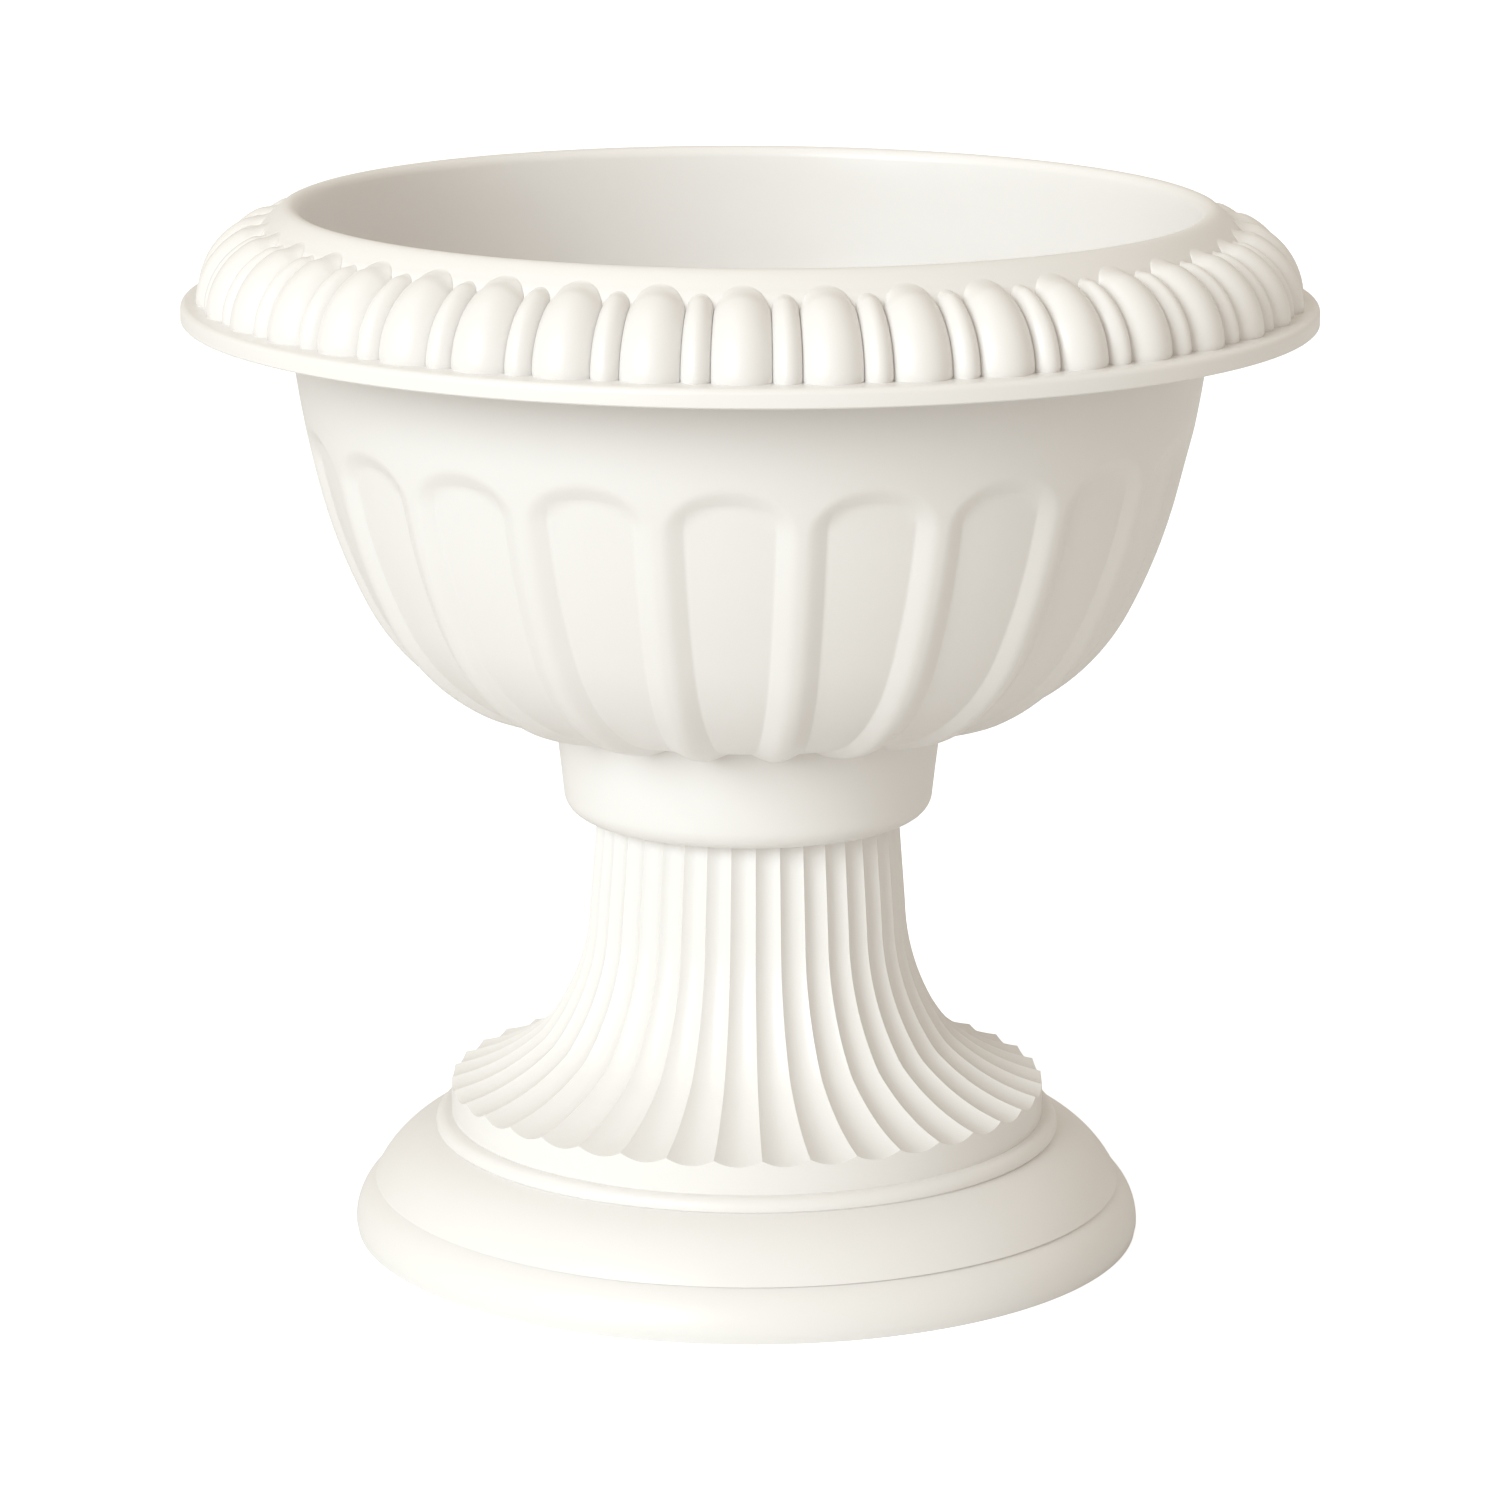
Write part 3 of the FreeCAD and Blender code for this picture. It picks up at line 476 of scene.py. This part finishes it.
# %% Brim, band and lip
roll_inside = ROLL_CENTRE + ROLL_BASE - WALL
under = level(
    [(BOWL_TOP[0], HOLLOW_TOP)]
    + arc((BOWL_TOP[0], BRIM_TOP + ROLL_BASE - WALL / 2), (roll_inside, BRIM_TOP), -ROLL_BASE, 7)
    + [(roll_inside, BRIM_TOP), (roll_inside, BRIM_TOP - WALL), (BRIM_RADIUS - WALL, BRIM_TOP - WALL),
       (BRIM_RADIUS - WALL, BRIM_UNDER), (BRIM_RADIUS - 0.5, BRIM_UNDER), (BRIM_RADIUS, BRIM_UNDER + 0.5)]
    + arc((BRIM_RADIUS, BRIM_TOP - BRIM_ROUND), (BRIM_RADIUS - BRIM_ROUND, BRIM_TOP), BRIM_ROUND, 6)
    + [(BRIM_RADIUS - BRIM_ROUND, BRIM_TOP)], columns)
foot = np.array([[0.7, 0.0], [-0.5, 0.15], [-0.35, 0.6]])
feet = (ROLL_CENTRE + lobe_distance[:1] + foot[:, :1], np.full((3, columns), BRIM_TOP) + foot[:, 1:])
lobes = (ROLL_CENTRE + lobe_distance * np.cos(np.radians(lobe_turn)),
         BRIM_TOP + lobe_distance * np.sin(np.radians(lobe_turn)))
steps = np.array([0.06, 0.14, 0.24, 0.36, 0.5, 0.66, 0.83, 1.0])[:, None]
band_turn = lobe_turn[-1:] + (band_end - lobe_turn[-1:]) * steps
distance = band_distance(band_turn)
band = (ROLL_CENTRE + distance * np.cos(np.radians(band_turn)),
        BRIM_TOP + distance * np.sin(np.radians(band_turn)))
lip = level(
    arc(lip_start, (LIP_RADIUS, LIP_HEIGHT), LIP_ROUND, 3)[1:]
    + arc((LIP_RADIUS, LIP_HEIGHT), lip_end, LIP_ROUND, 6)
    + [lip_end, (lip_end[0] + 0.1, 413.0), (BOWL_TOP[0] - WALL - 1.0, HOLLOW_TOP)], columns)

rim_radius = np.vstack([part[0] for part in (under, feet, lobes, band, lip)])
rim_height = np.vstack([part[1] for part in (under, feet, lobes, band, lip)])
rim_azimuth = LOBE_AZIMUTH + np.vstack([
    np.repeat(lobe_azimuth[:1], len(under[0]) + 3, axis=0), lobe_azimuth,
    lobe_azimuth[-1:] + (even - lobe_azimuth[-1:]) * np.minimum(steps * 1.2, 1.0),
    np.repeat(even, len(lip[0]), axis=0)])
middle = columns // 2
rim_line = list(zip(rim_radius[:, middle], rim_height[:, middle]))
bowl_rim = turn_sector("bowl_rim", rim_line, lobe_pitch, columns - 1)
press(bowl_rim, lobe_pitch, rim_radius, rim_height, rim_azimuth)
repeat_round(bowl_rim, LOBES)

# %% [markdown]
# ## Pedestal
# The stem has forty hollow flutes with sharp edges between them. Below, it flares out over a drum, where the
# flutes end in a row of scallops, and the foot goes on down in a ring and two steps. One pitch is one flute.

# %% Sizes of the pedestal
FLUTES = 40
FLUTE_AZIMUTH = 2.95
FLUTE_SHARE = (0.20, 0.13)
FLARE_EDGE = (122.6, 62.5)
FLARE_SLOPE = 17.0
DRUM_FOOT = 48.6
RING_RADIUS = 129.0
RING_BOTTOM = 42.6
STEP = (153.8, 20.0)
BAND = (162.6, 3.0)
FOOT_RADIUS = 162.0
BORE_RADIUS = 46.0
PLATE = 3.5
STEM_WALL = 6.6
STEM_TOP = 62.0

# %% Flutes
FLUTE_PARTS = np.array([0.0, 0.03, 0.09, 0.19, 0.31, 0.42, 0.5, 0.58, 0.69, 0.81, 0.91, 0.97, 1.0])
columns = len(FLUTE_PARTS)
slope = math.radians(FLARE_SLOPE)
run_out = [(FLARE_EDGE[0] + step, FLARE_EDGE[1] - step * math.tan(slope)) for step in range(30, 0, -1)]
arris = Line(run_out + line_through([
    (*FLARE_EDGE, -83.0), (84.3, 83.0, -91.0), (65.2, 136.0), (STEM_TOP, SEAT_HEIGHT)], 60))
radius, height, out, up = arris.at(arris.run)
hollow = 4 * FLUTE_PARTS * (1 - FLUTE_PARTS)
flute_share = np.interp(radius, (70.0, FLARE_EDGE[0]), FLUTE_SHARE)
stem_steps = 1 - (np.linspace(0.0, 1.0, 40) ** 1.25)[::-1]
stem_radius, stem_height = [], []
for share in hollow:
    flute_depth = share * flute_share * 2 * math.pi / FLUTES * radius
    line_radius, line_height = radius - out * flute_depth, height - up * flute_depth
    edge = np.interp(-FLARE_EDGE[0], -line_radius, arris.run)
    places = arris.run[-1] + (edge - arris.run[-1]) * stem_steps
    stem_radius.append(np.interp(places, arris.run, line_radius))
    stem_height.append(np.interp(places, arris.run, line_height))
stem_radius, stem_height = np.array(stem_radius).T, np.array(stem_height).T
print("scallops hang", round(float(np.ptp(stem_height[-1])), 2), "mm")

# %% Drum, foot and the hollow inside
edge_height = stem_height[-1]
drum_steps = np.array([0.06, 0.2, 0.5, 0.8, 1.0])[:, None]
drum = (np.full((5, columns), FLARE_EDGE[0]), edge_height + (DRUM_FOOT - edge_height) * drum_steps)
top = level([(BORE_RADIUS, SEAT_HEIGHT - PLATE), (BORE_RADIUS, SEAT_HEIGHT)], columns)
upper_step = [(RING_RADIUS - WALL / 4, RING_BOTTOM, -43.0), (154.4, 20.9)]
lower_step = [(*STEP, -20.0), BAND, (FOOT_RADIUS, 0.0)]
foot_points = (
    arc((FLARE_EDGE[0] + WALL / 4, DRUM_FOOT), (RING_RADIUS, RING_BOTTOM + WALL / 4), -4.4, 7)
    + [(RING_RADIUS, RING_BOTTOM + WALL / 4)] + line_through(upper_step, 14) + [(153.2, 20.4)]
    + line_through(lower_step, 12))
under_step = Line(line_through([upper_step[0], (*STEP, -20.0), BAND], 8))
step_radius, step_height, step_in, step_down = under_step.at(under_step.run)
inner_step = list(zip(step_radius + step_in * WALL, step_height + step_down * WALL))
inner_runs = np.linspace(arris.run[30], arris.run[-1], 14)
inner_radius, inner_height, inner_out, inner_up = arris.at(inner_runs)
inner_stem = list(zip(inner_radius - inner_out * STEM_WALL, inner_height - inner_up * STEM_WALL))
foot = level(
    foot_points + [(FOOT_RADIUS - WALL, 0.0)] + inner_step[::-1]
    + [(FLARE_EDGE[0] - WALL, RING_BOTTOM - WALL), (FLARE_EDGE[0] - WALL, FLARE_EDGE[1] - STEM_WALL)]
    + inner_stem[1:-1] + [(STEM_TOP - STEM_WALL, SEAT_HEIGHT - PLATE)], columns)

pedestal_radius = np.vstack([part[0] for part in (top, (stem_radius, stem_height), drum, foot)])
pedestal_height = np.vstack([part[1] for part in (top, (stem_radius, stem_height), drum, foot)])
flute_pitch = 360.0 / FLUTES
pedestal_azimuth = np.repeat((FLUTE_AZIMUTH + FLUTE_PARTS * flute_pitch)[None], len(pedestal_radius), axis=0)
pedestal = turn_sector("pedestal_moulding", list(zip(pedestal_radius[:, 0], pedestal_height[:, 0])),
                       flute_pitch, columns - 1)
press(pedestal, flute_pitch, pedestal_radius, pedestal_height, pedestal_azimuth)
repeat_round(pedestal, FLUTES)

# %% [markdown]
# ## Twist lock
# Four lugs under the bowl drop through four notches in the pedestal's plate and turn under it as far as four
# stops. Each block is a small rectangle spun through its angle. The notches are made by pulling the edge of
# the opening outwards, which keeps the plate one clean mesh.

# %% Sizes of the twist lock
LOCK_COUNT = 4
TWIST = 45.0
LUG_REACH = 7.6
LUG_THICKNESS = 3.0
LUG_SPREAD = 26.0
STOP_SPREAD = 4.0
NOTCH_SPREAD = 32.0
LOCK_CLEARANCE = 0.5
lock_pitch = 360.0 / LOCK_COUNT
ceiling = SEAT_HEIGHT - PLATE
lug_bottom = SEAT_HEIGHT - LOCK_DEPTH
notch_radius = BORE_RADIUS + LUG_REACH + LOCK_CLEARANCE
LUG = {
    "radii": (sum(LOCK_RING) / 2, LOCK_RING[1] + LUG_REACH),
    "heights": (lug_bottom, lug_bottom + LUG_THICKNESS),
    "middle": TWIST,
    "spread": LUG_SPREAD,
}
STOP = {
    "radii": (BORE_RADIUS + LOCK_CLEARANCE, notch_radius),
    "heights": (ceiling - LUG_THICKNESS, ceiling + PLATE / 2),
    "middle": TWIST + LUG_SPREAD / 2 + STOP_SPREAD / 2 + LOCK_CLEARANCE,
    "spread": STOP_SPREAD,
}


# %% Blocks round the axis
def ring_of_blocks(name, block, steps):
    """Four equal blocks round the axis, each a rectangle spun through its own angle, as one object."""
    parts = []
    for index in range(LOCK_COUNT):
        bpy.ops.object.select_all(action="DESELECT")
        bpy.ops.mesh.primitive_plane_add(size=MM)
        part = bpy.context.object
        corners = [(radius, height) for height in block["heights"] for radius in block["radii"]]
        for vertex, (radius, height) in zip(part.data.vertices, corners):
            vertex.co = (radius * MM, 0.0, height * MM)
        start = block["middle"] - block["spread"] / 2 + index * lock_pitch
        bpy.ops.object.mode_set(mode="EDIT")
        bpy.ops.mesh.select_all(action="SELECT")
        bpy.ops.mesh.spin(steps=steps, angle=math.radians(block["spread"]), center=(0, 0, 0), axis=(0, 0, 1))
        bpy.ops.mesh.select_all(action="SELECT")
        bpy.ops.mesh.normals_make_consistent(inside=False)
        bpy.ops.object.mode_set(mode="OBJECT")
        # the spin may run either way round, so the block is turned from the end that it started at
        if part.data.vertices[-1].co.y < 0:
            start += block["spread"]
        part.data.transform(Matrix.Rotation(math.radians(start), 4, "Z"))
        parts.append(part)
    for part in parts:
        part.select_set(True)
    bpy.context.view_layer.objects.active = parts[0]
    bpy.ops.object.join()
    parts[0].name = parts[0].data.name = name
    print(name, "lie between", block["radii"], "mm from the axis")
    return parts[0]


lock_lugs = ring_of_blocks("lock_lugs", LUG, 10)
lock_stops = ring_of_blocks("lock_stops", STOP, 2)

# %% Notches in the edge of the opening
notched = 0
for vertex in pedestal.data.vertices:
    reach = math.hypot(vertex.co.x, vertex.co.y) / MM
    turn = math.degrees(math.atan2(vertex.co.y, vertex.co.x)) % lock_pitch
    on_edge = abs(reach - BORE_RADIUS) < LOCK_CLEARANCE
    if on_edge and min(turn, lock_pitch - turn) < NOTCH_SPREAD / 2:
        vertex.co.x *= notch_radius / BORE_RADIUS
        vertex.co.y *= notch_radius / BORE_RADIUS
        notched += 1
print(notched, "points of the plate's edge lie in notches")

# %% [markdown]
# ## Finishes
# The urn is moulded resin: an off-white with a satin skin. Its tone drifts a little over a hand's breadth,
# and the skin has a very fine grain, so a highlight on it is soft and never quite even. The plug is dark
# rubber with the same kind of skin, duller and coarser. Both materials share one group, which gives a tone,
# a roughness and a height that change over the surface.

# %% Moulded skin, a group for both finishes
CLOUD_SCALE = 55.0
CLOUD_IN_RELIEF = 0.35
CLOUD_RANGE = (0.3, 0.7)


def moulded_skin():
    """A group that gives a drifting colour, a cloudy roughness and a fine-grained height."""
    group = bpy.data.node_groups.new("moulded_skin", "ShaderNodeTree")
    for name in ("Tone", "Shade"):
        group.interface.new_socket(name, in_out="INPUT", socket_type="NodeSocketColor")
    for name in ("Drift Scale", "Smoothest", "Roughest", "Grain Scale"):
        group.interface.new_socket(name, in_out="INPUT", socket_type="NodeSocketFloat")
    group.interface.new_socket("Colour", in_out="OUTPUT", socket_type="NodeSocketColor")
    for name in ("Roughness", "Height"):
        group.interface.new_socket(name, in_out="OUTPUT", socket_type="NodeSocketFloat")
    nodes, links = group.nodes, group.links
    given, made = nodes.new("NodeGroupInput"), nodes.new("NodeGroupOutput")
    place = nodes.new("ShaderNodeTexCoord")
    drift, cloud, grain = [nodes.new("ShaderNodeTexNoise") for _ in range(3)]
    drift.inputs["Detail"].default_value = 3.0
    cloud.inputs["Scale"].default_value = CLOUD_SCALE
    cloud.inputs["Detail"].default_value = 4.0
    grain.inputs["Detail"].default_value = 2.0
    for noise in (drift, cloud, grain):
        links.new(place.outputs["Object"], noise.inputs["Vector"])
    links.new(given.outputs["Drift Scale"], drift.inputs["Scale"])
    links.new(given.outputs["Grain Scale"], grain.inputs["Scale"])
    tone = nodes.new("ShaderNodeMix")
    tone.data_type = "RGBA"
    links.new(drift.outputs["Fac"], tone.inputs["Factor"])
    links.new(given.outputs["Shade"], tone.inputs[6])
    links.new(given.outputs["Tone"], tone.inputs[7])
    links.new(tone.outputs[2], made.inputs["Colour"])
    sheen = nodes.new("ShaderNodeMapRange")
    sheen.inputs["From Min"].default_value = CLOUD_RANGE[0]
    sheen.inputs["From Max"].default_value = CLOUD_RANGE[1]
    links.new(cloud.outputs["Fac"], sheen.inputs["Value"])
    links.new(given.outputs["Smoothest"], sheen.inputs["To Min"])
    links.new(given.outputs["Roughest"], sheen.inputs["To Max"])
    links.new(sheen.outputs["Result"], made.inputs["Roughness"])
    both = nodes.new("ShaderNodeMath")
    both.operation = "MULTIPLY_ADD"
    both.inputs[1].default_value = CLOUD_IN_RELIEF
    links.new(cloud.outputs["Fac"], both.inputs[0])
    links.new(grain.outputs["Fac"], both.inputs[2])
    links.new(both.outputs["Value"], made.inputs["Height"])
    return group


# %% Resin and rubber
RELIEF_HEIGHT = 0.2


def finish(name, group, look):
    """A material whose colour, roughness and relief come from the skin group, at one look's values."""
    material = bpy.data.materials.new(name)
    material.use_nodes = True
    nodes, links = material.node_tree.nodes, material.node_tree.links
    skin = nodes["Principled BSDF"]
    skin.inputs["Specular IOR Level"].default_value = look["specular"]
    source = nodes.new("ShaderNodeGroup")
    source.node_tree = group
    source.inputs["Tone"].default_value = (*look["tone"], 1.0)
    source.inputs["Shade"].default_value = (*look["shade"], 1.0)
    source.inputs["Drift Scale"].default_value = look["drift_scale"]
    source.inputs["Smoothest"].default_value = look["roughness"][0]
    source.inputs["Roughest"].default_value = look["roughness"][1]
    source.inputs["Grain Scale"].default_value = look["grain_scale"]
    bump = nodes.new("ShaderNodeBump")
    bump.inputs["Strength"].default_value = look["relief"]
    bump.inputs["Distance"].default_value = RELIEF_HEIGHT * MM
    links.new(source.outputs["Colour"], skin.inputs["Base Color"])
    links.new(source.outputs["Roughness"], skin.inputs["Roughness"])
    links.new(source.outputs["Height"], bump.inputs["Height"])
    links.new(bump.outputs["Normal"], skin.inputs["Normal"])
    print(name, "is between", *look["roughness"], "rough")
    return material


skin_group = moulded_skin()
cream = finish("cream_resin", skin_group, {
    "tone": (0.82, 0.80, 0.79), "shade": (0.795, 0.775, 0.76), "drift_scale": 9.0,
    "roughness": (0.28, 0.38), "grain_scale": 900.0, "relief": 0.12, "specular": 0.5,
})
rubber = finish("dark_rubber", skin_group, {
    "tone": (0.030, 0.030, 0.029), "shade": (0.018, 0.018, 0.018), "drift_scale": 60.0,
    "roughness": (0.55, 0.75), "grain_scale": 1400.0, "relief": 0.35, "specular": 0.35,
})

# %% Each piece on its body
for piece, body, node in ((bowl_wall, "bowl_body", "bowl"), (bowl_rim, "bowl_body", "bowl"),
                          (lock_lugs, "bowl_body", "bowl"), (pedestal, "pedestal_body", "pedestal"),
                          (lock_stops, "pedestal_body", "pedestal")):
    piece.data.materials.clear()
    piece.data.materials.append(cream)
    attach(piece, body)
    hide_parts(node)
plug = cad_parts["drain_plug"]
for slot in plug.material_slots:
    slot.material = rubber

# %% [markdown]
# ## Floor and light
# The urn stands on a plain white floor that fills the view. A wide, soft sun from the upper left shapes it,
# and an even warm glow from all round keeps the shaded side open. The floor is paler to the camera than to
# the light that bounces off it, so it stays clean white without washing out the shaded mouldings.

# %% Floor
FLOOR_SIZE = 60.0
BOUNCED_TONE = 0.80
SEEN_TONE = 0.95
SEEN_LIFT = 0.58
bpy.ops.object.select_all(action="DESELECT")
bpy.ops.mesh.primitive_plane_add(size=FLOOR_SIZE)
floor = bpy.context.object
floor.name = "floor"
paper = bpy.data.materials.new("white_floor")
paper.use_nodes = True
paper_skin = paper.node_tree.nodes["Principled BSDF"]
paper_skin.inputs["Roughness"].default_value = 0.95
paper_skin.inputs["Specular IOR Level"].default_value = 0.0
ray = paper.node_tree.nodes.new("ShaderNodeLightPath")
shade = paper.node_tree.nodes.new("ShaderNodeMix")
shade.data_type = "RGBA"
shade.inputs[6].default_value = (*[BOUNCED_TONE] * 3, 1.0)
shade.inputs[7].default_value = (*[SEEN_TONE] * 3, 1.0)
paper.node_tree.links.new(ray.outputs["Is Camera Ray"], shade.inputs["Factor"])
paper.node_tree.links.new(shade.outputs[2], paper_skin.inputs["Base Color"])
paper_skin.inputs["Emission Color"].default_value = (0.88, 0.93, 1.0, 1.0)
lift = paper.node_tree.nodes.new("ShaderNodeMath")
lift.operation = "MULTIPLY"
lift.inputs[1].default_value = SEEN_LIFT
paper.node_tree.links.new(ray.outputs["Is Camera Ray"], lift.inputs[0])
paper.node_tree.links.new(lift.outputs["Value"], paper_skin.inputs["Emission Strength"])
floor.data.materials.append(paper)

# %% Lights
SUN_FROM = 36.0
SUN_ABOVE = 21.0
SUN_SPREAD = 34.0
SUN_POWER = 2.15
SKY_TILT = 20.0
SKY_TURN = -65.0
SKY_POWER = 0.17
GLOW_POWER = 0.65
bpy.ops.object.light_add(type="SUN")
sun = bpy.context.object
sun.name = "window"
sun.rotation_euler = (math.radians(90 - SUN_ABOVE), 0.0, math.radians(-SUN_FROM))
sun.data.angle = math.radians(SUN_SPREAD)
sun.data.energy = SUN_POWER
sun.data.color = (0.89, 0.975, 1.0)

bpy.ops.object.light_add(type="SUN")
skylight = bpy.context.object
skylight.name = "skylight"
skylight.rotation_euler = (math.radians(SKY_TILT), 0.0, math.radians(SKY_TURN))
skylight.data.angle = math.radians(SUN_SPREAD)
skylight.data.energy = SKY_POWER

world = bpy.data.worlds.new("studio")
bpy.context.scene.world = world
world.use_nodes = True
glow = world.node_tree.nodes["Background"]
glow.inputs["Color"].default_value = (1.0, 0.915, 0.79, 1.0)
glow.inputs["Strength"].default_value = GLOW_POWER
bpy.context.scene.view_settings.view_transform = "Standard"
